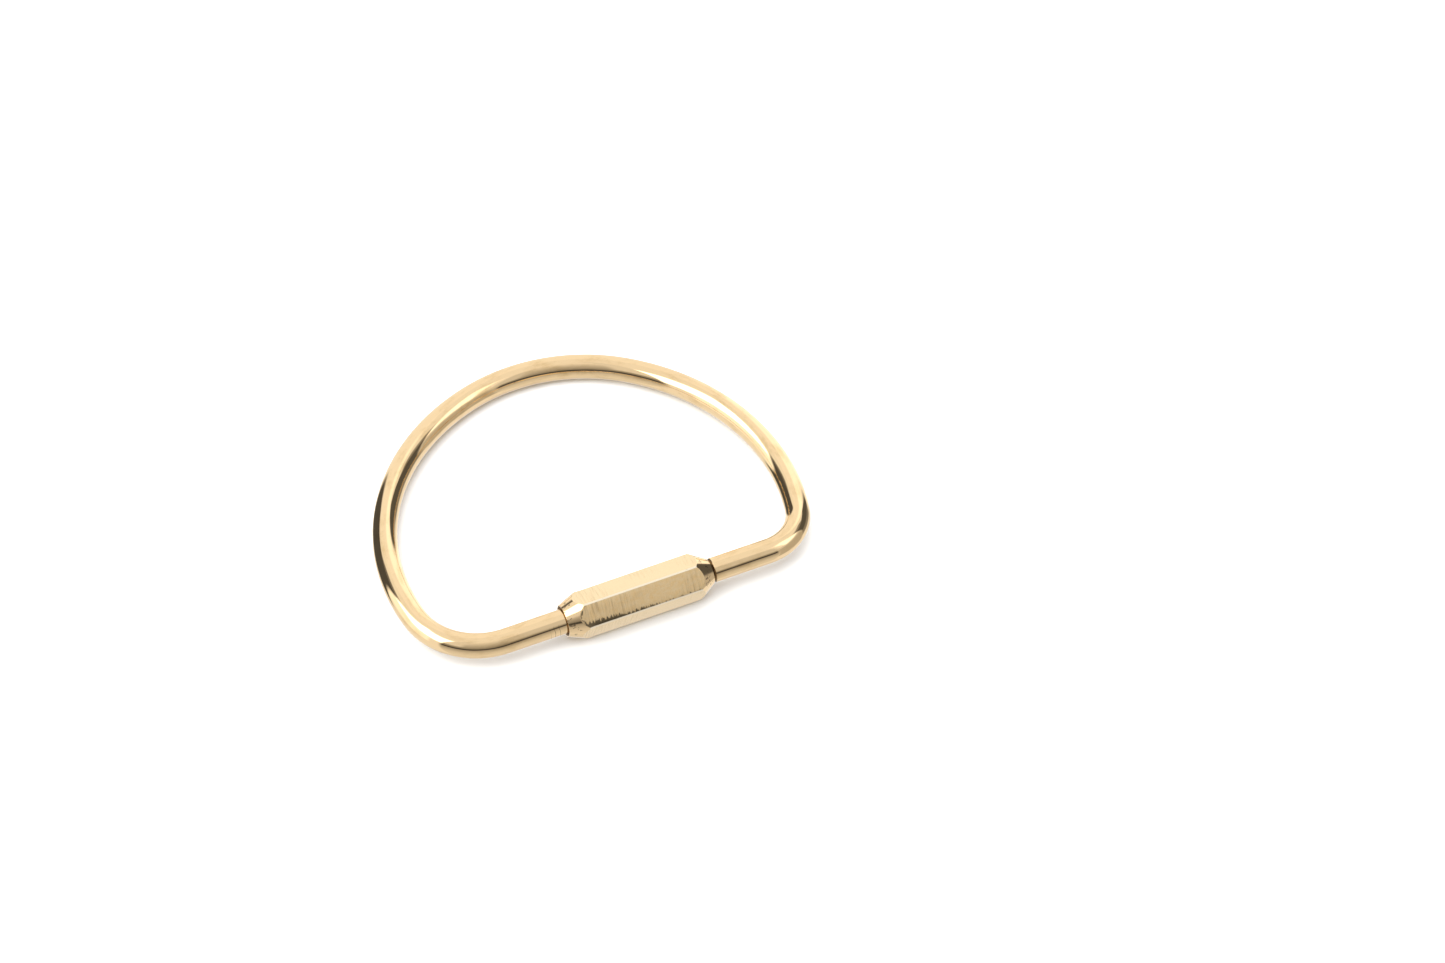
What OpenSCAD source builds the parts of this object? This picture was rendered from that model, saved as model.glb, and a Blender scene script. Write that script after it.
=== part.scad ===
// Screw-lock key ring: one round rod bent into a D, closed along its straight side by a
// hexagonal barrel nut. The ring lies in the XY plane. The origin is in the middle of the
// ring's outline, at half the rod's height. +X runs along the straight side to the threaded
// end of the rod, +Y points across the ring to the bow, and +Z is up.

/* [Ring rod] */
// Diameter of the rod
rod_d = 4; // [3.6:0.1:4.2]
// Half the length of the straight side, between the two corner bends
straight_half = 22.2; // [22:0.1:26]
// Centreline radius of the corner bend at the threaded side
corner_r_right = 8.2; // [7:0.1:10]
// Angle of the corner bend at the threaded side
corner_turn_right = 75; // [72:1:80]
// Centreline radius of the corner bend at the plain side
corner_r_left = 11.4; // [10:0.1:12]
// Angle of the corner bend at the plain side
corner_turn_left = 81; // [78:1:84]
// Centreline radius of the flank at the threaded side
flank_r_right = 36.8; // [35:0.1:38]
// Angle of the flank at the threaded side
flank_turn_right = 67; // [65:1:69]
// Angle of the flank at the plain side
flank_turn_left = 82; // [80:1:84]
// Chamfer on the rod's turned edges
rod_chamfer = 0.3; // [0.1:0.05:0.5]

/* [Screw end of the rod] */
// Diameter of the thread's crests
thread_d = 3; // [2.6:0.1:3]
// Length from the shoulder to the tip of the screw
screw_l = 6.3; // [5:0.1:6.4]
// Pitch of the thread
thread_pitch = 0.5; // [0.4:0.05:0.6]
// Depth of the thread
thread_depth = 0.3; // [0.2:0.02:0.34]
// Length of the plain neck between the shoulder and the thread
neck_l = 0.7; // [0.5:0.1:1]

/* [Barrel nut] */
// Width across the flats of the hexagon
barrel_flats = 6.75; // [6.5:0.05:7]
// Width across the bevelled corners of the hexagon
barrel_corners = 7.62; // [7.56:0.02:7.8]
// Length of the barrel
barrel_l = 24.8; // [24:0.1:25]
// How far the barrel's middle lies from the middle of the straight side
barrel_shift = -0.2; // [-0.4:0.1:0.2]
// How far the hexagon is turned about its axis from lying on a flat
barrel_turn = 13; // [0:0.5:30]
// Diameter of the round rim at the plain end
plain_rim_d = 5.2; // [5.1:0.1:5.6]
// Length of the taper at the plain end
plain_taper = 3; // [2:0.1:5]
// Diameter of the round rim at the threaded end
thread_rim_d = 4.2; // [4:0.1:5]
// Length of the taper at the threaded end
thread_taper = 2.7; // [2:0.1:4]
// Length of the threaded stretch of the bore
thread_bore_l = 6.4; // [6.4:0.1:7]
// Depth of the countersink in the mouth of the plain bore
mouth_depth = 0.5; // [0.2:0.05:0.8]
// Radial width of that countersink
mouth_width = 0.3; // [0.1:0.05:0.4]

/* [Fits and travel] */
// Radial clearance of the rod and of the thread's crests in the barrel
running_fit = 0.05; // [0.02:0.01:0.1]
// Gap left between the closed barrel and the rod's shoulder
closed_gap = 0.15; // [0.05:0.05:0.3]
// Travel of the unscrewed barrel towards the plain side
travel = 9.3; // [6:0.1:9.3]
// Clearance between the rod's plain tip and the step in the bore, with the barrel open
tip_gap = 0.4; // [0.2:0.1:1]

/* [Hidden] */
$fn = 96;
overlap = 0.02;

// Tangent bends are parted by a hairline groove, because surfaces that only just touch
// don't join exactly.
seam = 0.02;
seam_depth = 0.05;
core_l = 0.4;

rod_r = rod_d / 2;

// The barrel's two ends, and the step between its two bores, along X.
barrel_left = barrel_shift - barrel_l / 2;
barrel_right = barrel_shift + barrel_l / 2;
bore_step = barrel_right - thread_bore_l;

// The rod's shoulder, the tip of its screw and its plain tip, along X.
shoulder_x = barrel_right + closed_gap;
screw_tip_x = shoulder_x - screw_l;
plain_tip_x = bore_step - travel - tip_gap;

// Headings of the centreline where one bend gives way to the next. It starts along +X.
heading_1 = corner_turn_right;
heading_2 = heading_1 + flank_turn_right;
heading_4 = 360 - corner_turn_left;
heading_3 = heading_4 - flank_turn_left;

// The step that a bend of radius r makes while its heading turns from a to b.
function bend_step(r, a, b) = r * [sin(b) - sin(a), cos(a) - cos(b)];

// The bow's radius and the left flank's radius are the two that close the loop.
known_steps = [2 * straight_half, 0]
    + bend_step(corner_r_right, 0, heading_1)
    + bend_step(flank_r_right, heading_1, heading_2)
    + bend_step(corner_r_left, heading_4, 360);
bow_unit = bend_step(1, heading_2, heading_3);
flank_unit = bend_step(1, heading_3, heading_4);
bow_r = -cross(known_steps, flank_unit) / cross(bow_unit, flank_unit);
flank_r_left = -cross(bow_unit, known_steps) / cross(bow_unit, flank_unit);

// Radius and heading range of each bend, in order from the threaded side to the plain side.
bends = [
    [corner_r_right, 0, heading_1],
    [flank_r_right, heading_1, heading_2],
    [bow_r, heading_2, heading_3],
    [flank_r_left, heading_3, heading_4],
    [corner_r_left, heading_4, 360]
];

// Where bend i starts, with the middle of the straight side at [0, 0].
function bend_start(i) = i == 0
    ? [straight_half, 0]
    : bend_start(i - 1) + bend_step(bends[i - 1][0], bends[i - 1][1], bends[i - 1][2]);

// The outline's extremes: the flanks head along Y there, the bow heads along -X, and the
// lowest point is a corner of the barrel.
reach_right = (bend_start(1) + bend_step(flank_r_right, heading_1, 90)).x + rod_r;
reach_left = (bend_start(3) + bend_step(flank_r_left, heading_3, 270)).x - rod_r;
reach_bow = (bend_start(2) + bend_step(bow_r, heading_2, 180)).y + rod_r;
reach_front = -barrel_corners / 2 * cos(barrel_turn);
middle = [(reach_right + reach_left) / 2, (reach_bow + reach_front) / 2, 0];

// One bend of the rod, cut back by half a hairline at each end.
module bend(start, r, from, to) {
    cut = seam / 2 / r * 180 / PI;
    translate([start.x - r * sin(from), start.y + r * cos(from), 0])
        rotate_extrude(angle = to - from - 2 * cut, start = from - 90 + cut)
            translate([r, 0])
                circle(d = rod_d);
}

// The core that carries the rod across the hairline between two bends.
module seam_core(at, heading) {
    translate([at.x, at.y, 0])
        rotate([0, 0, heading])
            rotate([0, 90, 0])
                cylinder(d = rod_d - 2 * seam_depth, h = core_l, center = true);
}

// A turned shape along X. Its outline is a list of [radius, x].
module turned_x(outline) {
    rotate([0, 90, 0])
        rotate_extrude()
            polygon(outline);
}

// The screw: plain neck, ring-shaped threads and a chamfered tip.
module screw() {
    crest = thread_d / 2;
    root = crest - thread_depth;
    first = screw_tip_x + thread_depth;
    count = floor((screw_l - neck_l - thread_depth) / thread_pitch);
    // The corners of one groove, each as a radius and a share of the pitch.
    groove = [[crest, 0.2], [root, 0.5], [root, 0.6], [crest, 0.9]];
    turned_x(concat(
        [[0, screw_tip_x], [root, screw_tip_x], [crest, first]],
        [for (k = [0 : count - 1], corner = groove)
            [corner[0], first + (k + corner[1]) * thread_pitch]],
        [[root, shoulder_x - neck_l], [root, shoulder_x + overlap], [0, shoulder_x + overlap]]
    ));
}

// A straight length of rod with a chamfer at the end that faces the barrel.
module straight_rod(bend_x, tip_x) {
    inward = sign(bend_x - tip_x);
    turned_x([
        [0, tip_x],
        [rod_r - rod_chamfer, tip_x],
        [rod_r, tip_x + inward * rod_chamfer],
        [rod_r, bend_x],
        [0, bend_x]
    ]);
}

module ring_rod() {
    color([0.86, 0.72, 0.42])
        translate(-middle) {
            for (i = [0 : len(bends) - 1]) {
                bend(bend_start(i), bends[i][0], bends[i][1], bends[i][2]);
                seam_core(bend_start(i), bends[i][1]);
            }
            seam_core([-straight_half, 0], 0);
            straight_rod(straight_half, shoulder_x);
            straight_rod(-straight_half, plain_tip_x);
            screw();
        }
}

// The hexagonal bar, its corners bevelled, lying along X on a flat.
module hexagon_bar() {
    translate([barrel_left, 0, 0])
        rotate([0, 90, 0])
            linear_extrude(barrel_l)
                intersection() {
                    rotate(30)
                        circle(d = barrel_flats / cos(30), $fn = 6);
                    circle(d = barrel_corners / cos(30), $fn = 6);
                }
}

// The round shape that the tapers at both ends are turned to.
module taper_outline() {
    full = barrel_corners / 2 / cos(15);
    plain_slope = (barrel_corners - plain_rim_d) / 2 / plain_taper;
    thread_slope = (barrel_corners - thread_rim_d) / 2 / thread_taper;
    turned_x([
        [0, barrel_left],
        [plain_rim_d / 2, barrel_left],
        [full, barrel_left + (full - plain_rim_d / 2) / plain_slope],
        [full, barrel_right - (full - thread_rim_d / 2) / thread_slope],
        [thread_rim_d / 2, barrel_right],
        [0, barrel_right]
    ]);
}

// The stepped bore: plain from the left with a countersunk mouth, threaded at the right.
module stepped_bore() {
    plain_r = rod_r + running_fit;
    thread_r = thread_d / 2 + running_fit;
    turned_x([
        [0, barrel_left - overlap],
        [plain_r + mouth_width, barrel_left - overlap],
        [plain_r + mouth_width, barrel_left],
        [plain_r, barrel_left + mouth_depth],
        [plain_r, bore_step],
        [thread_r, bore_step],
        [thread_r, barrel_right + overlap],
        [0, barrel_right + overlap]
    ]);
}

module barrel_nut() {
    color([0.80, 0.68, 0.44])
        translate(-middle)
            rotate([-barrel_turn, 0, 0])
                difference() {
                    intersection() {
                        hexagon_bar();
                        taper_outline();
                    }
                    stepped_bore();
                }
}

ring_rod();
barrel_nut();
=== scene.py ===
"""Screw-lock key ring: a brass rod bent into a D, closed by a hexagonal brass barrel nut.

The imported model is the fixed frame. Both CAD nodes are replaced by denser meshes of the same
shape and size, with a real helical thread, softened edges and worked brass materials.
Sizes in this script are in millimetres and become metres in grid_mesh().
"""

import math

import bpy
import numpy as np
from mathutils import Matrix, Vector


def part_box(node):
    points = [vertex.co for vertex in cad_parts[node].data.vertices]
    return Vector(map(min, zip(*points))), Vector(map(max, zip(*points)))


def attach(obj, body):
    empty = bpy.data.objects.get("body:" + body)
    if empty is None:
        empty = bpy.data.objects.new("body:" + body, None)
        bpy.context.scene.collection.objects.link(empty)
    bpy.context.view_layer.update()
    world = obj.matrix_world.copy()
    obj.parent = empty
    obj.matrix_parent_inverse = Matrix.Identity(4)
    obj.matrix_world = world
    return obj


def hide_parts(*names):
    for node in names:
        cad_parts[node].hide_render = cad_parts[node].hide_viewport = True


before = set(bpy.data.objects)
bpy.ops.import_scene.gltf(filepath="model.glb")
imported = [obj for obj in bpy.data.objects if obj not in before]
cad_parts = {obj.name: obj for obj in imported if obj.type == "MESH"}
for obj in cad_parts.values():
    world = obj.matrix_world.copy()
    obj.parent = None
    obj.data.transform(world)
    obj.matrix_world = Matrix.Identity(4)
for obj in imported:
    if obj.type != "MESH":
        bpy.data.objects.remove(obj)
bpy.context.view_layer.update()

MM = 0.001

# ---------------------------------------------------------------- driving dimensions, in mm
# The same as part.scad's.

ROD_R = 2.0
STRAIGHT_HALF = 22.2
CORNER_R_RIGHT, CORNER_TURN_RIGHT = 8.2, 75
CORNER_R_LEFT, CORNER_TURN_LEFT = 11.4, 81
FLANK_R_RIGHT, FLANK_TURN_RIGHT = 36.8, 67
FLANK_TURN_LEFT = 82
ROD_CHAMFER = 0.3

THREAD_R = 1.5
THREAD_DEPTH = 0.3
THREAD_PITCH = 0.5
SCREW_L = 6.3
NECK_L = 0.7

BARREL_FLATS = 6.75
BARREL_CORNERS = 7.62
BARREL_L = 24.8
BARREL_SHIFT = -0.2
BARREL_TURN = 13
PLAIN_RIM_R, PLAIN_TAPER = 2.6, 3.0
THREAD_RIM_R, THREAD_TAPER = 2.1, 2.7
THREAD_BORE_L = 6.4
MOUTH_DEPTH, MOUTH_WIDTH = 0.5, 0.3

RUNNING_FIT = 0.05
CLOSED_GAP = 0.15
TRAVEL = 9.3
TIP_GAP = 0.4

# Only in the visual model: rounding of edges, and how finely the surfaces are divided.
EDGE_ROUND = 0.05
BEVEL_ROUND = 0.12
SCALLOP_ROUND = 0.16
FLAT_CROWN = 0.01
ROLL_LEFT, ROLL_RIGHT = 0.07, 0.01
NUT_THREAD_DEPTH = 0.2
ROD_COLUMNS = 96
ROD_STEP = 0.5
THREAD_STEP = THREAD_PITCH / 16
FLAT_PIECES = 16
ROUND_STEPS = 4
CAP_R = 0.3  # the innermost ring on the rod's two end faces
ROLL_RUN = 0.8  # the length over which a flat's roll-off fades out at its ends

# ---------------------------------------------------------------- the rod's centreline


def bend_step(radius, start, end):
    """The step that a bend makes while its heading turns from start to end, in degrees."""
    a, b = math.radians(start), math.radians(end)
    return radius * np.array([math.sin(b) - math.sin(a), math.cos(a) - math.cos(b)])


HEADINGS = [
    0,
    CORNER_TURN_RIGHT,
    CORNER_TURN_RIGHT + FLANK_TURN_RIGHT,
    360 - CORNER_TURN_LEFT - FLANK_TURN_LEFT,
    360 - CORNER_TURN_LEFT,
    360,
]


def closing_radii():
    """The bow's and the left flank's radius, which are the two that close the loop."""
    known = (
        np.array([2 * STRAIGHT_HALF, 0])
        + bend_step(CORNER_R_RIGHT, HEADINGS[0], HEADINGS[1])
        + bend_step(FLANK_R_RIGHT, HEADINGS[1], HEADINGS[2])
        + bend_step(CORNER_R_LEFT, HEADINGS[4], HEADINGS[5])
    )
    bow = bend_step(1, HEADINGS[2], HEADINGS[3])
    flank = bend_step(1, HEADINGS[3], HEADINGS[4])
    return np.linalg.solve(np.column_stack([bow, flank]), -known)


BOW_R, FLANK_R_LEFT = closing_radii()
BEND_RADII = [CORNER_R_RIGHT, FLANK_R_RIGHT, BOW_R, FLANK_R_LEFT, CORNER_R_LEFT]

BARREL_LEFT = BARREL_SHIFT - BARREL_L / 2
BARREL_RIGHT = BARREL_SHIFT + BARREL_L / 2
BORE_STEP = BARREL_RIGHT - THREAD_BORE_L
SHOULDER_X = BARREL_RIGHT + CLOSED_GAP
SCREW_TIP_X = SHOULDER_X - SCREW_L
PLAIN_TIP_X = BORE_STEP - TRAVEL - TIP_GAP


def centreline():
    """The rod's centreline from the screw's tip round to the plain tip.

    Each stretch is (arc length at its start, start point, heading, radius or None, length).
    """
    stretches = []
    at, point = 0.0, np.array([SCREW_TIP_X, 0.0])
    lead = STRAIGHT_HALF - SCREW_TIP_X
    stretches.append((at, point, 0, None, lead))
    at, point = at + lead, point + [lead, 0]
    for radius, start, end in zip(BEND_RADII, HEADINGS, HEADINGS[1:]):
        length = radius * math.radians(end - start)
        stretches.append((at, point, start, radius, length))
        at, point = at + length, point + bend_step(radius, start, end)
    stretches.append((at, point, 0, None, PLAIN_TIP_X + STRAIGHT_HALF))
    return stretches


CENTRELINE = centreline()
ROD_LENGTH = CENTRELINE[-1][0] + CENTRELINE[-1][4]


def on_centreline(along):
    """Points on the centreline and their headings in radians, at these arc lengths."""
    points = np.zeros((len(along), 2))
    headings = np.zeros(len(along))
    for at, start, heading, radius, length in CENTRELINE:
        here = (along >= at - 1e-9) if at else np.ones(len(along), bool)
        run = along[here] - at
        first = math.radians(heading)
        if radius is None:
            points[here] = start + run[:, None] * [math.cos(first), math.sin(first)]
            headings[here] = first
        else:
            turned = first + run / radius
            points[here] = start + radius * np.column_stack(
                [np.sin(turned) - math.sin(first), math.cos(first) - np.cos(turned)]
            )
            headings[here] = turned
    return points, headings


# ---------------------------------------------------------------- mesh building


def rounded(corners):
    """A polyline through these corners, each rounded, and each side cut into pieces.

    A corner is (x, y, rounding radius, pieces of the side after it). The result is the points
    and, for each point, the number of the side it lies on and of the corner it belongs to.
    """
    xy = np.array([c[:2] for c in corners], float)
    points, sides, owners = [], [], []
    for i, (_, _, radius, pieces) in enumerate(corners):
        first, last = i == 0, i == len(corners) - 1
        if radius and not first and not last:
            back, ahead = xy[i - 1] - xy[i], xy[i + 1] - xy[i]
            back_l, ahead_l = np.linalg.norm(back), np.linalg.norm(ahead)
            back, ahead = back / back_l, ahead / ahead_l
            inner = math.acos(max(-1, min(1, float(back @ ahead))))
            tangent = min(radius / math.tan(inner / 2), 0.45 * back_l, 0.45 * ahead_l)
            radius = tangent * math.tan(inner / 2)
            middle = (back + ahead) / np.linalg.norm(back + ahead)
            centre = xy[i] + middle * radius / math.sin(inner / 2)
            start = xy[i] + back * tangent - centre
            end = xy[i] + ahead * tangent - centre
            turn = math.pi - inner
            arc = []
            for k in range(ROUND_STEPS + 1):
                share = k / ROUND_STEPS
                swing = math.sin(turn * (1 - share)) * start + math.sin(turn * share) * end
                arc.append(centre + swing / math.sin(turn))
        else:
            arc = [xy[i]]
        if points:
            before, pieces_before = points[-1], corners[i - 1][3]
            for k in range(1, pieces_before):
                points.append(before + (arc[0] - before) * k / pieces_before)
                sides.append(i - 1)
                owners.append(i - 1)
        points += arc
        sides += [i - 1 if k * 2 < len(arc) else i for k in range(len(arc))]
        owners += [i] * len(arc)
    return np.array(points), np.array(sides), np.array(owners)


def grid_mesh(name, grid, fields, capped, finish=None):
    """A smooth closed mesh from a (rows, columns, 3) grid of points in mm.

    The columns run round the piece. The rows end in a point at each end if capped, and
    otherwise join up as well. fields maps an attribute's name to its (rows, columns[, 3])
    values, and finish holds the material number of the face after each grid point. The
    normals are weighted by area, so flat faces stay flat up to their edges.
    """
    rows, columns = grid.shape[:2]
    points = grid.reshape(-1, 3)
    values = {k: v.reshape(rows * columns, -1) for k, v in fields.items()}
    i = np.arange(rows - 1 if capped else rows)[:, None]
    j = np.arange(columns)[None, :]
    after_i, after_j = (i + 1) % rows, (j + 1) % columns
    quads = np.stack(
        [
            i * columns + j,
            i * columns + after_j,
            after_i * columns + after_j,
            after_i * columns + j,
        ],
        axis=-1,
    ).reshape(-1, 4)
    triangles = np.zeros((0, 3), int)
    if capped:
        first, last = len(points), len(points) + 1
        points = np.vstack([points, grid[0].mean(0), grid[-1].mean(0)])
        for k, v in values.items():
            v = v.reshape(rows, columns, -1)
            values[k] = np.vstack([v.reshape(rows * columns, -1), v[0].mean(0), v[-1].mean(0)])
        ring = np.arange(columns)
        after = (ring + 1) % columns
        end = (rows - 1) * columns
        triangles = np.vstack(
            [
                np.column_stack([np.full(columns, first), after, ring]),
                np.column_stack([np.full(columns, last), end + ring, end + after]),
            ]
        )
    faces = quads.tolist() + triangles.tolist()
    mesh = bpy.data.meshes.new(name)
    mesh.from_pydata((points * MM).tolist(), [], faces)
    mesh.shade_smooth()
    if finish is not None:
        mesh.polygons.foreach_set("material_index", finish[: len(i)].ravel().astype(np.int32))

    normals = np.zeros(points.shape)
    for corners in (quads, triangles):
        if len(corners):
            p = points[corners]
            area = np.cross(p[:, 2] - p[:, 0], p[:, -1] - p[:, 1])
            for k in range(corners.shape[1]):
                np.add.at(normals, corners[:, k], area)
    normals /= np.linalg.norm(normals, axis=1)[:, None]
    mesh.normals_split_custom_set_from_vertices(normals.tolist())

    for key, value in values.items():
        vector = value.shape[1] == 3
        attribute = mesh.attributes.new(key, "FLOAT_VECTOR" if vector else "FLOAT", "POINT")
        attribute.data.foreach_set("vector" if vector else "value", value.astype(np.float32).ravel())
    piece = bpy.data.objects.new(name, mesh)
    bpy.context.scene.collection.objects.link(piece)
    return piece


def thread_form(phase):
    """Height of a thread from 0 at its root to 1 at its crest, over one pitch."""
    crest, root = 0.3, 0.1
    flank = (1 - crest - root) / 2
    from_crest = np.abs((phase % 1) - 0.5) * 2
    return np.clip((1 - root - from_crest) / (2 * flank), 0, 1)


# ---------------------------------------------------------------- the rod


def rod_grid():
    """The rod as a turned bar, bent along its centreline."""
    root = THREAD_R - THREAD_DEPTH
    thread_l = SCREW_L - NECK_L
    bar_l = ROD_LENGTH - ROD_CHAMFER - (SCREW_L + ROD_CHAMFER)
    profile, side, _ = rounded(
        [
            (0, CAP_R, 0, 3),
            (0, root, EDGE_ROUND, round(thread_l / THREAD_STEP)),
            (thread_l, root, 0, 4),
            (SCREW_L, root, EDGE_ROUND, 2),
            (SCREW_L, ROD_R - ROD_CHAMFER, EDGE_ROUND, 2),
            (SCREW_L + ROD_CHAMFER, ROD_R, EDGE_ROUND, round(bar_l / ROD_STEP)),
            (ROD_LENGTH - ROD_CHAMFER, ROD_R, EDGE_ROUND, 2),
            (ROD_LENGTH, ROD_R - ROD_CHAMFER, EDGE_ROUND, 3),
            (ROD_LENGTH, CAP_R, 0, 1),
        ]
    )
    along, radius = profile.T
    angle = np.arange(ROD_COLUMNS) * 2 * math.pi / ROD_COLUMNS
    radius = np.repeat(radius[:, None], ROD_COLUMNS, axis=1)

    # The thread starts with a chamfer at the tip and runs out at the neck.
    threaded = (side == 1) & (along > 0)
    run = along[threaded][:, None]
    lead = np.clip(run / THREAD_DEPTH, 0, 1) * np.clip((thread_l - run) / THREAD_PITCH * 2, 0, 1)
    phase = run / THREAD_PITCH - angle / (2 * math.pi)
    radius[threaded] += THREAD_DEPTH * np.minimum(thread_form(phase), lead)

    points, headings = on_centreline(along)
    inward = np.column_stack([-np.sin(headings), np.cos(headings), 0 * headings])
    centre = np.column_stack([points, 0 * headings])
    in_part, up_part = radius * np.cos(angle), radius * np.sin(angle)
    grid = (
        centre[:, None] + in_part[..., None] * inward[:, None] + up_part[..., None] * [0, 0, 1.0]
    )
    straight = np.stack([np.repeat(along[:, None], ROD_COLUMNS, 1), in_part, up_part], axis=-1)
    return grid, straight


# ---------------------------------------------------------------- the barrel nut

GROUND_FLAT, POLISHED_BEVEL, TURNED_TAPER, DRILLED_BORE = range(4)
FACE_SPACING = 20.0  # keeps the pattern of one face apart from the next
# The front flat, which gets a painted dark reflection and painted golden warmth.
FRONT_FACE = 4  # faces are counted from the one that it rests on


def hexagon_outline():
    """The barrel's section: six flats and six bevels, as points, face numbers and places.

    A point's place on a flat is from -1 at one edge to 1 at the other. Bevels have face 6.
    """
    apothem, bevel = BARREL_FLATS / 2 - FLAT_CROWN, BARREL_CORNERS / 2
    half = (bevel - apothem * math.cos(math.pi / 6)) / math.sin(math.pi / 6)
    corners, labels = [], []
    for k in range(6):
        normal = math.radians(60 * k)
        out = np.array([math.cos(normal), math.sin(normal)])
        across = np.array([-out[1], out[0]])
        for n in range(FLAT_PIECES + 1):
            t = 2 * n / FLAT_PIECES - 1
            height = apothem + FLAT_CROWN * (1 - t * t)
            edge = n in (0, FLAT_PIECES)
            pieces = 2 if n == FLAT_PIECES else 1
            corners.append((*(out * height + across * t * half), BEVEL_ROUND if edge else 0, pieces))
            labels.append((k, t) if not edge else (6, t))
    # The polyline starts and ends in the middle of a flat, where nothing is rounded.
    start = FLAT_PIECES // 2
    corners = corners[start:] + corners[: start + 1]
    points, _, owner = rounded(corners)
    labels = labels[start:] + labels[: start + 1]
    face = np.array([labels[s][0] for s in owner])
    place = np.array([labels[s][1] for s in owner])
    return points[:-1], face[:-1], place[:-1]


def barrel_grid():
    """The barrel as a turned, bored bar whose outside follows the hexagon between its tapers."""
    outline, face, place = hexagon_outline()
    out_r = np.linalg.norm(outline, axis=1)
    angle = np.arctan2(outline[:, 1], outline[:, 0])
    plain_r, thread_r = ROD_R + RUNNING_FIT, THREAD_R + RUNNING_FIT
    plain_slope = (BARREL_CORNERS / 2 - PLAIN_RIM_R) / PLAIN_TAPER
    thread_slope = (BARREL_CORNERS / 2 - THREAD_RIM_R) / THREAD_TAPER
    thread_rows = round(THREAD_BORE_L / THREAD_STEP)
    taper_ends = BARREL_LEFT + (out_r - PLAIN_RIM_R) / plain_slope
    taper_starts = BARREL_RIGHT - (out_r - THREAD_RIM_R) / thread_slope
    columns = []
    for r, taper_end, taper_start in zip(out_r, taper_ends, taper_starts):
        middle_l, middle_r = BARREL_LEFT, (plain_r + MOUTH_WIDTH + PLAIN_RIM_R) / 2
        profile, side, _ = rounded(
            [
                (middle_l, middle_r, 0, 1),
                (BARREL_LEFT, PLAIN_RIM_R, EDGE_ROUND, 8),
                (taper_end, r, SCALLOP_ROUND, 24),
                (taper_start, r, SCALLOP_ROUND, 8),
                (BARREL_RIGHT, THREAD_RIM_R, EDGE_ROUND, 2),
                (BARREL_RIGHT, thread_r, EDGE_ROUND, thread_rows),
                (BORE_STEP, thread_r, EDGE_ROUND, 2),
                (BORE_STEP, plain_r, EDGE_ROUND, 20),
                (BARREL_LEFT + MOUTH_DEPTH, plain_r, EDGE_ROUND, 3),
                (BARREL_LEFT, plain_r + MOUTH_WIDTH, EDGE_ROUND, 1),
                (middle_l, middle_r, 0, 1),
            ]
        )
        columns.append(profile[:-1])
    side = side[:-1]
    profile = np.stack(columns, axis=1)
    x, radius = profile[..., 0], profile[..., 1].copy()

    # The thread in the bore is cut outwards, so it clears the crests of the rod's thread.
    threaded = side == 5
    run = BARREL_RIGHT - x[threaded]
    lead = np.clip(run / THREAD_PITCH - 0.4, 0, 1) * np.clip(
        (THREAD_BORE_L - run) / THREAD_PITCH - 1, 0, 1
    )
    phase = run / THREAD_PITCH + angle / (2 * math.pi)
    radius[threaded] += NUT_THREAD_DEPTH * thread_form(phase) * lead

    # A flat's edges roll off a little, most of all at its left end, where it is most worn.
    along = np.clip((x - x[side == 2].min()) / BARREL_L, 0, 1)
    from_taper = x - taper_ends
    ends = np.clip(from_taper / ROLL_RUN, 0, 1) * np.clip((taper_starts - x) / ROLL_RUN, 0, 1)
    roll = ROLL_RIGHT + (ROLL_LEFT - ROLL_RIGHT) * (1 - along) ** 2
    radius = radius - np.where(side[:, None] == 2, roll * ends * place**4, 0)

    turn = math.radians(-90 - BARREL_TURN)
    grid = np.stack([x, radius * np.cos(angle + turn), radius * np.sin(angle + turn)], axis=-1)

    nearest = np.round(angle / (math.pi / 3))
    across = radius * np.sin(angle - nearest * (math.pi / 3))
    number = np.broadcast_to(nearest % 6, x.shape)
    ground = np.stack([x, across, number * FACE_SPACING], axis=-1)
    turned = np.stack([x, radius * np.cos(angle), radius * np.sin(angle)], axis=-1)

    flat = (face < 6) | (np.roll(face, -1) < 6)
    finish = np.where(flat, GROUND_FLAT, POLISHED_BEVEL)[None, :].repeat(len(side), 0)
    finish[(side != 2) & (side < 5)] = TURNED_TAPER
    finish[side >= 5] = DRILLED_BORE
    return grid, {"ground": ground, "turned": turned, "from_taper": from_taper}, finish


# ---------------------------------------------------------------- pieces

# The frame's origin is the middle of the outline, and the CAD box says where that is.
rod_low, rod_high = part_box("ring_rod")
rod_xyz, rod_straight = rod_grid()
cad_middle = (np.array(rod_low) + np.array(rod_high)) / 2 / MM
offset = cad_middle - (rod_xyz.min(axis=(0, 1)) + rod_xyz.max(axis=(0, 1))) / 2

rod = grid_mesh("rod", rod_xyz + offset, {"straight": rod_straight}, capped=True)
barrel_xyz, barrel_fields, barrel_finish = barrel_grid()
barrel = grid_mesh(
    "barrel", barrel_xyz + offset, barrel_fields, capped=False, finish=barrel_finish
)

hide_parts("ring_rod")
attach(rod, "ring")
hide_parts("barrel_nut")
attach(barrel, "barrel")

# ---------------------------------------------------------------- node helpers


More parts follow.
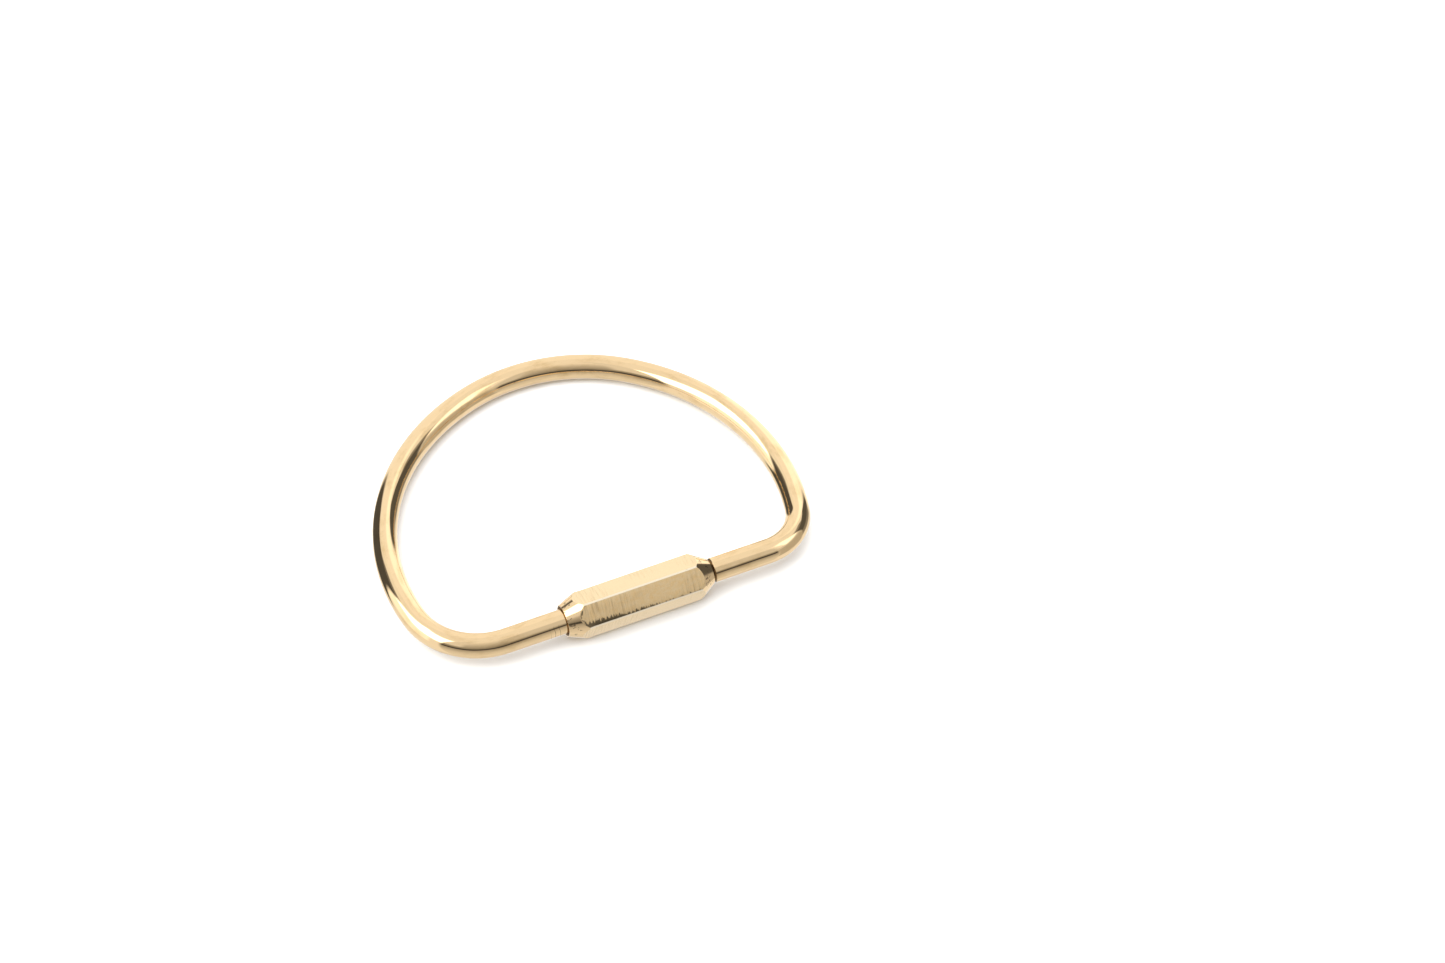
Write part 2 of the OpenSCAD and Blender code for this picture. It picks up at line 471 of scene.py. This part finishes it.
class Graph:
    """Adds nodes to a node tree, with plain calls for the common ones."""

    def __init__(self, tree):
        self.tree = tree
        tree.nodes.clear()

    def add(self, kind, inputs=None, **settings):
        node = self.tree.nodes.new(kind)
        for key, value in settings.items():
            setattr(node, key, value)
        for key, value in (inputs or {}).items():
            if isinstance(value, bpy.types.NodeSocket):
                self.tree.links.new(value, node.inputs[key])
            else:
                node.inputs[key].default_value = value
        return node

    def math(self, operation, a, b=0.0, c=0.0):
        inputs = {0: a, 1: b, 2: c}
        return self.add("ShaderNodeMath", inputs, operation=operation).outputs[0]

    def ramp(self, value, low, high, to_low=0.0, to_high=1.0, smooth=True):
        node = self.add(
            "ShaderNodeMapRange",
            {"Value": value, "From Min": low, "From Max": high, "To Min": to_low, "To Max": to_high},
            interpolation_type="SMOOTHSTEP" if smooth else "LINEAR",
        )
        return node.outputs["Result"]

    def mix(self, factor, a, b):
        node = self.add("ShaderNodeMix", {"Factor": factor}, data_type="RGBA")
        for socket, value in ((node.inputs[6], a), (node.inputs[7], b)):
            if isinstance(value, bpy.types.NodeSocket):
                self.tree.links.new(value, socket)
            else:
                socket.default_value = (*value, 1.0)
        return node.outputs[2]

    def attribute(self, name, output="Vector"):
        node = self.add("ShaderNodeAttribute", attribute_name=name, attribute_type="GEOMETRY")
        return node.outputs[output]

    def noise(self, vector, scale, detail=3.0, roughness=0.5):
        """Noise over a vector that is first scaled along each of its three axes."""
        scaled = self.add(
            "ShaderNodeVectorMath", {0: vector, 1: scale}, operation="MULTIPLY"
        ).outputs[0]
        inputs = {"Vector": scaled, "Scale": 1.0, "Detail": detail, "Roughness": roughness}
        return self.add("ShaderNodeTexNoise", inputs).outputs[0]

    def bump(self, height, strength, distance, normal=None):
        inputs = {"Height": height, "Strength": strength, "Distance": distance}
        if normal is not None:
            inputs["Normal"] = normal
        return self.add("ShaderNodeBump", inputs).outputs["Normal"]


def brass(name):
    """A new material with a metallic shader, and its graph."""
    material = bpy.data.materials.new(name)
    material.use_nodes = True
    graph = Graph(material.node_tree)
    shader = graph.add("ShaderNodeBsdfPrincipled", {"Metallic": 1.0})
    graph.add("ShaderNodeOutputMaterial", {"Surface": shader.outputs[0]})
    return material, graph, shader


def connect(graph, shader, **inputs):
    """Links values to the shader's sockets. An underscore stands for a space in their names."""
    for key, value in inputs.items():
        graph.tree.links.new(value, shader.inputs[key.replace("_", " ")])


POLISHED = (0.90, 0.67, 0.39)
# Pale enough to paint in the bevels' highlight lines.
PALE_HIGHLIGHT = (0.98, 0.86, 0.66)
TARNISHED = (0.62, 0.40, 0.16)
GROUND = (0.97, 0.76, 0.47)
WORN = (0.58, 0.41, 0.22)
# The warm gold of a painted reflection on the front flat.
REFLECTED_GOLD = (0.95, 0.64, 0.28)
# Dark brown for grime, nicks and marks, and for painted shade at the rod's shoulder and in the bore.
GRIME_AND_SHADE = (0.09, 0.06, 0.035)
# The dark olive of a painted reflection on the front flat.
DARK_BAND = (0.13, 0.10, 0.06)

# ---------------------------------------------------------------- polished rod

# Faint marks across the rod beside the barrel, by arc length from the screw's tip.
CROSS_MARKS = [ROD_LENGTH - 11.6, ROD_LENGTH - 10.9, ROD_LENGTH - 10.1]
CROSS_MARK_WIDTH = 0.07

material, g, shader = brass("polished_brass")
place = g.attribute("straight")
scratches = g.noise(place, (0.12, 7.0, 7.0), detail=4.0, roughness=0.65)
fine = g.noise(place, (0.5, 26.0, 26.0), detail=2.0)
waves = g.noise(place, (0.16, 0.45, 0.45), detail=2.0)
patches = g.noise(place, (0.22, 0.5, 0.5), detail=5.0, roughness=0.65)
along, inward, up = g.add("ShaderNodeSeparateXYZ", {0: place}).outputs
broken = g.ramp(g.noise(place, (0.6, 0.8, 0.8)), 0.30, 0.55)
marks = None
for mark in CROSS_MARKS:
    wobble = g.math("ADD", along, g.math("MULTIPLY", waves, 0.8))
    distance = g.math("ABSOLUTE", g.math("SUBTRACT", wobble, mark + 0.4))
    line = g.ramp(distance, CROSS_MARK_WIDTH, 0.0)
    marks = line if marks is None else g.math("MAXIMUM", marks, line)
low_front = g.math("MULTIPLY", g.ramp(inward, 0.0, -0.6), g.ramp(up, 1.5, 1.0))
marks = g.math("MULTIPLY", marks, g.math("MULTIPLY", broken, low_front))
tarnish = g.ramp(patches, 0.45, 0.80, 0.0, 0.55)
colour = g.mix(tarnish, POLISHED, TARNISHED)
colour = g.mix(g.math("MULTIPLY", marks, 0.85), colour, GRIME_AND_SHADE)
# The screw and the shoulder that meets the barrel are darkened and roughened: grime, and painted
# shade where the shoulder meets the barrel's rim.
shade_and_grime = g.ramp(along, SCREW_L + ROD_CHAMFER + 0.05, SCREW_L + ROD_CHAMFER - 0.08)
screw_darkening = g.ramp(along, SCREW_L, SCREW_L - 0.1, 1.0, 0.35)
shade_and_grime = g.math("MULTIPLY", g.math("MULTIPLY", shade_and_grime, screw_darkening), 0.85)
colour = g.mix(shade_and_grime, colour, GRIME_AND_SHADE)
roughness = g.ramp(scratches, 0.35, 0.75, 0.01, 0.07)
roughness = g.math("ADD", roughness, g.math("MULTIPLY", tarnish, 0.10))
roughness = g.math("ADD", roughness, g.math("MULTIPLY", shade_and_grime, 0.2))
height = g.math("ADD", g.math("MULTIPLY", scratches, 0.5), g.math("MULTIPLY", fine, 0.3))
height = g.math("SUBTRACT", height, g.math("MULTIPLY", marks, 0.6))
normal = g.bump(waves, 0.12, 0.0001)
normal = g.bump(height, 0.35, 0.00001, normal)
connect(g, shader, Base_Color=colour, Roughness=roughness, Normal=normal)
rod.data.materials.append(material)

# ---------------------------------------------------------------- barrel finishes


def ground_place(g):
    """The barrel's own coordinates: along its axis, across a face, and the face's number."""
    place = g.attribute("ground")
    return place, g.add("ShaderNodeSeparateXYZ", {0: place})


# Ground flats: lines across the axis, a little aslant, in patches that are mostly at the left.
GRINDING_SLANT = 0.06
ARC_FROM_TAPER = 0.30
material, g, shader = brass("ground_brass")
place, split = ground_place(g)
along, across, face_number = split.outputs
slanted = g.math("ADD", along, g.math("MULTIPLY", across, GRINDING_SLANT))
cut = g.add("ShaderNodeCombineXYZ", {0: slanted, 1: across, 2: face_number}).outputs[0]
grinding = g.noise(cut, (9.0, 0.35, 1.0), detail=4.0, roughness=0.6)
streaks = g.noise(cut, (2.6, 0.16, 1.0), detail=4.0, roughness=0.6)
cloud = g.noise(place, (0.16, 0.3, 1.0), detail=3.0)
left_end = g.ramp(along, 3.0, BARREL_LEFT + 2.0)
patch = g.ramp(g.math("ADD", cloud, g.math("MULTIPLY", left_end, 0.2)), 0.42, 0.75)
wear = g.math("MULTIPLY", g.ramp(streaks, 0.42, 0.68, 0.0, 0.75), patch)
front_face = g.math("COMPARE", face_number, FRONT_FACE * FACE_SPACING, 1.0)
wear = g.math("MULTIPLY", wear, g.ramp(front_face, 0.0, 1.0, 0.45, 1.0))
# On the front flat alone, golden mottling is painted in for the warm reflection that this flat
# shows.
mottle = g.noise(place, (1.1, 1.6, 1.0), detail=5.0, roughness=0.7)
warm_reflection = g.math("MULTIPLY", g.ramp(mottle, 0.30, 0.70, 0.15, 0.7), front_face)
colour = g.mix(warm_reflection, GROUND, REFLECTED_GOLD)
colour = g.mix(wear, colour, WORN)

# One flat gets a dark band with a ragged edge along its lower left, which is a painted reflection,
# and dark marks at its end.
teeth = g.ramp(g.noise(cut, (5.0, 0.3, 1.0), detail=2.0), 0.3, 0.7, -0.30, 0.30)
band_from, band_to = BARREL_LEFT + 2.5, BARREL_LEFT + 16
band_edge = g.ramp(along, band_from, band_to, 0.85, 1.80, smooth=False)
past_edge = g.math("SUBTRACT", across, g.math("ADD", band_edge, teeth))
band = g.ramp(past_edge, -0.05, 0.15)
from_arc = g.math("SUBTRACT", g.attribute("from_taper", "Fac"), ARC_FROM_TAPER)
from_arc = g.math("ABSOLUTE", from_arc)
blotch = g.ramp(g.noise(place, (1.4, 1.1, 1.0), detail=3.0), 0.42, 0.54)
arc = g.math("MULTIPLY", g.ramp(from_arc, 0.26, 0.05), blotch)
dark_band_and_marks = g.math("MULTIPLY", g.math("MAXIMUM", band, arc), front_face)
colour = g.mix(g.math("MULTIPLY", dark_band_and_marks, 0.9), colour, DARK_BAND)
roughness = g.ramp(grinding, 0.3, 0.7, 0.12, 0.26)
height = g.math("MULTIPLY", grinding, g.ramp(patch, 0.0, 1.0, 0.4, 1.0))
normal = g.bump(height, 0.30, 0.00002)
shader.inputs["Anisotropic"].default_value = 0.6
axis = g.add(
    "ShaderNodeVectorTransform",
    {0: (1, 0, 0)},
    vector_type="VECTOR",
    convert_from="OBJECT",
    convert_to="WORLD",
).outputs[0]
connect(g, shader, Base_Color=colour, Roughness=roughness, Normal=normal, Tangent=axis)
barrel.data.materials.append(material)

# Polished bevels between the flats, in a pale colour that paints in their bright highlight lines.
material, g, shader = brass("polished_bevel")
place, _ = ground_place(g)
shade = g.noise(place, (1.2, 2.0, 1.0), detail=3.0)
colour = g.mix(g.ramp(shade, 0.5, 0.8, 0.0, 0.4), PALE_HIGHLIGHT, WORN)
roughness = g.ramp(shade, 0.3, 0.7, 0.08, 0.16)
connect(g, shader, Base_Color=colour, Roughness=roughness)
barrel.data.materials.append(material)

# Turned tapers and rims: rings round the axis, with small nicks and a few dark specks.
material, g, shader = brass("turned_brass")
place = g.attribute("turned")
split = g.add("ShaderNodeSeparateXYZ", {0: place})
rings = g.noise(
    g.add("ShaderNodeCombineXYZ", {0: split.outputs[0]}).outputs[0], (14.0, 1.0, 1.0), detail=3.0
)
nicks = g.ramp(g.noise(place, (0.7, 1.7, 1.7), detail=4.0, roughness=0.7), 0.58, 0.63)
colour = g.mix(g.math("MULTIPLY", nicks, 0.75), POLISHED, GRIME_AND_SHADE)
roughness = g.math("ADD", g.ramp(rings, 0.3, 0.7, 0.05, 0.12), g.math("MULTIPLY", nicks, 0.15))
height = g.math("SUBTRACT", g.math("MULTIPLY", rings, 0.3), nicks)
normal = g.bump(height, 0.15, 0.00002)
connect(g, shader, Base_Color=colour, Roughness=roughness, Normal=normal)
barrel.data.materials.append(material)

# Drilled bore: never polished, dark with grime, and darker still as painted shade for the gap round
# the rod.
material, g, shader = brass("bore_brass")
bore_grime_and_shade = g.noise(g.attribute("turned"), (2.0, 2.0, 2.0), detail=3.0)
colour = g.mix(g.ramp(bore_grime_and_shade, 0.3, 0.7, 0.5, 0.9), WORN, GRIME_AND_SHADE)
roughness = g.ramp(bore_grime_and_shade, 0.3, 0.7, 0.35, 0.5)
connect(g, shader, Base_Color=colour, Roughness=roughness)
barrel.data.materials.append(material)

# ---------------------------------------------------------------- floor

# The ring rests on the barrel's lowest edge and on the underside of its bow, so the floor
# leans a little.
FLOOR_SIZE = 4.0  # metres
low_edge = min((v.co for v in barrel.data.vertices), key=lambda co: co.z)
bow = Vector((0, rod_high.y - ROD_R * MM, rod_low.z))
lean = math.atan2(bow.z - low_edge.z, bow.y - low_edge.y)

floor_mesh = bpy.data.meshes.new("floor")
half = FLOOR_SIZE / 2
floor_corners = [(-half, -half, 0), (half, -half, 0), (half, half, 0), (-half, half, 0)]
floor_mesh.from_pydata(floor_corners, [], [(0, 1, 2, 3)])
floor = bpy.data.objects.new("floor", floor_mesh)
bpy.context.scene.collection.objects.link(floor)
floor.matrix_world = Matrix.Translation(low_edge) @ Matrix.Rotation(lean, 4, "X")
floor.visible_glossy = False  # the brass mirrors the studio's lower panels instead

material = bpy.data.materials.new("pale_floor")
material.use_nodes = True
g = Graph(material.node_tree)
shader = g.add("ShaderNodeBsdfPrincipled", {"Base Color": (0.9, 0.9, 0.9, 1.0), "Roughness": 0.8})
shader.inputs["Specular IOR Level"].default_value = 0.1
g.add("ShaderNodeOutputMaterial", {"Surface": shader.outputs[0]})
floor.data.materials.append(material)

# ---------------------------------------------------------------- studio

# The front is shaded by elevation alone, and is warmer where it is dim. Each stop is
# (elevation in degrees, brightness).
FRONT = [
    (-68, 0.82),
    (-60, 0.90),
    (-24, 0.74),
    (-10, 0.58),
    (4, 0.42),
    (8, 0.07),
    (15, 0.06),
    (19, 0.28),
    (36, 0.50),
    (48, 0.60),
    (60, 0.76),
    (75, 0.98),
]
# Soft panels round the object. Each is (azimuth from, to, elevation from, to, softness of its
# edges, brightness, warmth). Azimuth 0 is +Y and 90 is +X, in degrees. A later panel covers an
# earlier one.
PANELS = [
    (-136, -110, 31, 90, 5, 0.86, 0.0),  # upper left of the front
    (-112, 152, -64, 91, 3, 1.0, 0.0),  # bright sides and back
    (-112, -46, 24, 63, 2, 3.2, 0.0),  # left softbox
    (-98, -50, -12, 25, 3, 1.35, 0.0),
    (-50, -13, -32, 32, 2, 0.09, 0.0),  # gap behind it
    (-47, -29, 30, 39, 3, 0.20, 0.0),
    (-14, 60, -40, 58, 3, 1.08, 0.0),  # back panel
    (36, 60, -40, 56, 4, 1.40, 0.0),
    (63, 104, -8, 38, 2, 0.11, 0.1),  # gap at the right
    (78, 103, 36, 46, 3, 0.30, 0.1),
    (70, 118, -20, 2, 5, 0.27, 0.1),
    (104, 152, -32, 24, 3, 0.55, 0.2),  # right panel and its dim foot
    (104, 152, 23, 34, 3, 0.80, 0.1),
    (104, 135, 32, 64, 3, 1.75, 0.0),
    (134, 153, 34, 64, 4, 1.05, 0.0),
    (147, 167, 26, 66, 5, 0.72, 0.0),
]
WARM = (1.0, 0.82, 0.55)
BACKDROP = (0.97, 0.97, 0.97)


def tinted(brightness, warmth):
    """A grey of this brightness, mixed towards the warm tint."""
    return tuple(brightness * (1 - warmth + warmth * c) for c in WARM)


scene = bpy.context.scene
world = bpy.data.worlds.new("studio")
scene.world = world
world.use_nodes = True
g = Graph(world.node_tree)
direction = g.add("ShaderNodeTexCoord").outputs["Generated"]
split = g.add("ShaderNodeSeparateXYZ", {0: direction})
to_degrees = 180 / math.pi
azimuth = g.math("MULTIPLY", g.math("ARCTAN2", split.outputs[0], split.outputs[1]), to_degrees)
elevation = g.math("MULTIPLY", g.math("ARCSINE", split.outputs[2]), to_degrees)
ramp = g.add("ShaderNodeValToRGB", {0: g.ramp(elevation, -90, 90, smooth=False)})
stops = ramp.color_ramp.elements
for number, (height, brightness) in enumerate(FRONT):
    stop = stops[number] if number < len(stops) else stops.new(1.0)
    stop.position = (height + 90) / 180
    stop.color = (*tinted(brightness, 0.25 * (1 - brightness)), 1.0)
light = ramp.outputs[0]
for az_from, az_to, el_from, el_to, soft, brightness, warmth in PANELS:
    factor = g.ramp(elevation, el_from - soft, el_from + soft)
    factor = g.math("MULTIPLY", factor, g.ramp(elevation, el_to - soft, el_to + soft, 1.0, 0.0))
    for edge, inside in ((az_from, 1), (az_to, -1)):
        rise = g.ramp(azimuth, edge - inside * soft, edge + inside * soft)
        factor = g.math("MULTIPLY", factor, rise)
    light = g.mix(factor, light, tinted(brightness, warmth))
seen = g.add("ShaderNodeLightPath").outputs["Is Camera Ray"]
background = g.add("ShaderNodeBackground", {"Color": g.mix(seen, light, BACKDROP)})
g.add("ShaderNodeOutputWorld", {"Surface": background.outputs[0]})

# A soft overhead light for the floor. It isn't mirrored in the brass.
SUN_SIZE = 90
SUN_TILT_X, SUN_TILT_Y = -12, -14
SUN_ENERGY = 3.9
lamp = bpy.data.lights.new("overhead", "SUN")
lamp.angle = math.radians(SUN_SIZE)
lamp.energy = SUN_ENERGY
overhead = bpy.data.objects.new("overhead", lamp)
overhead.rotation_euler = (math.radians(SUN_TILT_X), math.radians(SUN_TILT_Y), 0)
overhead.visible_glossy = False
scene.collection.objects.link(overhead)

# ---------------------------------------------------------------- camera

# Angles are in degrees, distances in metres, and the lens and sensor in mm.
VIEW_AZIMUTH, VIEW_ELEVATION = 24.0, 49.0
VIEW_TARGET = Vector((0.0229, -0.00827, 0))
VIEW_DISTANCE = 0.6502
LENS = 101.33
SENSOR_WIDTH = 36
NEAREST_SEEN = 0.01

turned_by, raised_by = math.radians(VIEW_AZIMUTH), math.radians(VIEW_ELEVATION)
level = math.cos(raised_by)
looking = Vector((math.sin(turned_by) * level, math.cos(turned_by) * level, -math.sin(raised_by)))
camera_data = bpy.data.cameras.new("camera")
camera_data.lens = LENS
camera_data.sensor_width = SENSOR_WIDTH
camera_data.clip_start = NEAREST_SEEN
camera = bpy.data.objects.new("camera", camera_data)
camera.location = VIEW_TARGET - looking * VIEW_DISTANCE
camera.rotation_euler = looking.to_track_quat("-Z", "Y").to_euler()
scene.collection.objects.link(camera)
scene.camera = camera
scene.view_settings.view_transform = "Standard"
